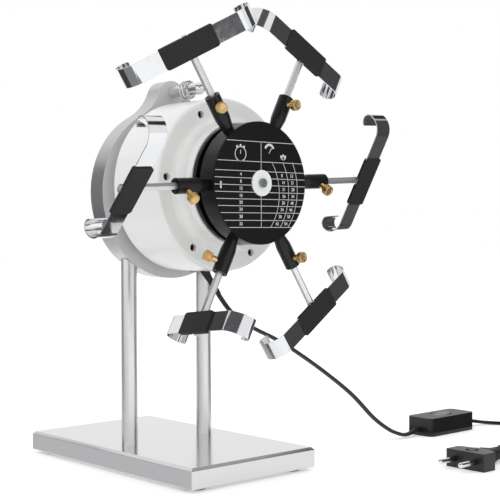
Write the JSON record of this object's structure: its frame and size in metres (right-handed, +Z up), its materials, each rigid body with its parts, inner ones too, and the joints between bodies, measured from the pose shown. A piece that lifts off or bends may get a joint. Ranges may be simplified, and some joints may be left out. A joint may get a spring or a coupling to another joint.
{
  "type": "watch winder",
  "caption": "Watch winder: a motor-driven rotor with radial arms, each carrying a sprung holder, on two posts and a flat base.",
  "frame": {"origin": "on the floor under the middle of the base", "axes": "+Z up, +X across the two posts, -Y towards the rotor's face"},
  "size_m": [0.4592, 0.3017, 0.3445],
  "materials": {
    "satin_aluminium": "satin",
    "polished_steel": "polished",
    "screw_steel": "satin",
    "white_lacquer": "gloss paint",
    "black_anodised": "satin black",
    "black_plastic": "matt",
    "white_plastic": "satin",
    "brass": "polished",
    "bronze": "satin",
    "rubber": "matt",
    "cord_pvc": "matt"
  },
  "bodies": {
    "stand": {"base_plate": "satin_aluminium", "rubber_feet": "rubber", "post_left": "satin_aluminium", "post_right": "satin_aluminium", "frame_screws": "screw_steel", "frame_plate": "satin_aluminium", "mounting_flange": "satin_aluminium", "housing_shell": "white_lacquer", "shell_side_screws": "screw_steel", "shell_front_screws": "screw_steel", "bearing_carrier": "satin_aluminium", "shaft_bush": "bronze", "bearing_cap": "black_anodised", "cap_screws": "screw_steel", "gear_motor": "screw_steel", "motor_screws": "screw_steel", "hanger_stud": "polished_steel", "stud_spacer": "polished_steel", "stud_clip": "polished_steel", "stud_dome_nut": "polished_steel", "cable_gland": "black_plastic", "terminal_block": "white_plastic", "mains_cord": "cord_pvc", "cord_tail": "cord_pvc", "cord_coil": "cord_pvc", "switch_case_lower": "black_plastic", "switch_case_upper": "black_plastic", "plug_body": "black_plastic", "plug_pins": "polished_steel"},
    "rotor": {"drive_shaft": "polished_steel", "rotor_drum": "black_anodised", "dial_plate": "black_anodised", "hub_washer": "white_plastic", "hub_screw": "screw_steel", "arm_sleeves": "black_anodised"},
    "slide_1": {"rod_1": "polished_steel"},
    "holder_1": {"strip_1": "polished_steel", "grip_1": "rubber"},
    "clamp_1": {"clamp_screw_1": "brass"},
    "slide_2": {"rod_2": "polished_steel"},
    "holder_2": {"strip_2": "polished_steel", "grip_2": "rubber"},
    "clamp_2": {"clamp_screw_2": "brass"},
    "slide_3": {"rod_3": "polished_steel"},
    "holder_3": {"strip_3": "polished_steel", "grip_3": "rubber"},
    "clamp_3": {"clamp_screw_3": "brass"},
    "slide_4": {"rod_4": "polished_steel"},
    "holder_4": {"strip_4": "polished_steel", "grip_4": "rubber"},
    "clamp_4": {"clamp_screw_4": "brass"},
    "slide_5": {"rod_5": "polished_steel"},
    "holder_5": {"strip_5": "polished_steel", "grip_5": "rubber"},
    "clamp_5": {"clamp_screw_5": "brass"},
    "slide_6": {"rod_6": "polished_steel"},
    "holder_6": {"strip_6": "polished_steel", "grip_6": "rubber"},
    "clamp_6": {"clamp_screw_6": "brass"},
    "rocker": {"switch_rocker": "black_plastic"}
  },
  "joints": [
    {"name": "rotor_spin", "type": "hinge", "parent": "stand", "child": "rotor", "pos_m": [0, 0, 0.2158], "axis": [0, -1, 0], "continuous": true},
    {"name": "rod_slide_1", "type": "slide", "parent": "rotor", "child": "slide_1", "axis": [0.9987, 0, 0.0506], "range_m": [-0.0147, 0.0073]},
    {"name": "holder_swivel_1", "type": "hinge", "parent": "slide_1", "child": "holder_1", "pos_m": [0.11455, -0.1023, 0.2216], "axis": [0.9987, 0, 0.0506], "continuous": true},
    {"name": "clamp_turn_1", "type": "hinge", "parent": "rotor", "child": "clamp_1", "pos_m": [0.06442, -0.1023, 0.21906], "axis": [0.0268, -0.848, -0.5292], "range_deg": [0, 180]},
    {"name": "rod_slide_2", "type": "slide", "parent": "rotor", "child": "slide_2", "axis": [0.4555, 0, 0.8902], "range_m": [-0.0104, 0.0116]},
    {"name": "holder_swivel_2", "type": "hinge", "parent": "slide_2", "child": "holder_2", "pos_m": [0.05029, -0.1023, 0.31408], "axis": [0.4555, 0, 0.8902], "continuous": true},
    {"name": "clamp_turn_2", "type": "hinge", "parent": "rotor", "child": "clamp_2", "pos_m": [0.02938, -0.1023, 0.27322], "axis": [0, -1, 0], "range_deg": [0, 180]},
    {"name": "rod_slide_3", "type": "slide", "parent": "rotor", "child": "slide_3", "axis": [-0.5432, 0, 0.8396], "range_m": [-0.0096, 0.0124]},
    {"name": "holder_swivel_3", "type": "hinge", "parent": "slide_3", "child": "holder_3", "pos_m": [-0.05953, -0.1023, 0.30782], "axis": [-0.5432, 0, 0.8396], "continuous": true},
    {"name": "clamp_turn_3", "type": "hinge", "parent": "rotor", "child": "clamp_3", "pos_m": [-0.03503, -0.1023, 0.26996], "axis": [-0.3812, -0.891, -0.2466], "range_deg": [0, 180]},
    {"name": "rod_slide_4", "type": "slide", "parent": "rotor", "child": "slide_4", "axis": [-0.9987, 0, -0.0506], "range_m": [-0.0098, 0.0122]},
    {"name": "holder_swivel_4", "type": "hinge", "parent": "slide_4", "child": "holder_4", "pos_m": [-0.10966, -0.1023, 0.21024], "axis": [-0.9987, 0, -0.0506], "continuous": true},
    {"name": "clamp_turn_4", "type": "hinge", "parent": "rotor", "child": "clamp_4", "pos_m": [-0.06442, -0.1023, 0.21254], "axis": [0.0339, -0.7431, -0.6683], "range_deg": [0, 180]},
    {"name": "rod_slide_5", "type": "slide", "parent": "rotor", "child": "slide_5", "axis": [-0.4555, 0, -0.8902], "range_m": [-0.011, 0.011]},
    {"name": "holder_swivel_5", "type": "hinge", "parent": "slide_5", "child": "holder_5", "pos_m": [-0.05056, -0.1023, 0.11699], "axis": [-0.4555, 0, -0.8902], "continuous": true},
    {"name": "clamp_turn_5", "type": "hinge", "parent": "rotor", "child": "clamp_5", "pos_m": [-0.02938, -0.1023, 0.15838], "axis": [-0.8638, 0.2419, 0.442], "range_deg": [0, 180]},
    {"name": "rod_slide_6", "type": "slide", "parent": "rotor", "child": "slide_6", "axis": [0.5432, 0, -0.8396], "range_m": [-0.0133, 0.0087]},
    {"name": "holder_swivel_6", "type": "hinge", "parent": "slide_6", "child": "holder_6", "pos_m": [0.06154, -0.1023, 0.12067], "axis": [0.5432, 0, -0.8396], "continuous": true},
    {"name": "clamp_turn_6", "type": "hinge", "parent": "rotor", "child": "clamp_6", "pos_m": [0.03503, -0.1023, 0.16165], "axis": [0.0293, -0.9994, 0.019], "range_deg": [0, 180]},
    {"name": "rocker_tilt", "type": "hinge", "parent": "stand", "child": "rocker", "pos_m": [0.263, -0.063, 0.0116], "axis": [0, 1, 0], "range_deg": [0, 12]}
  ]
}
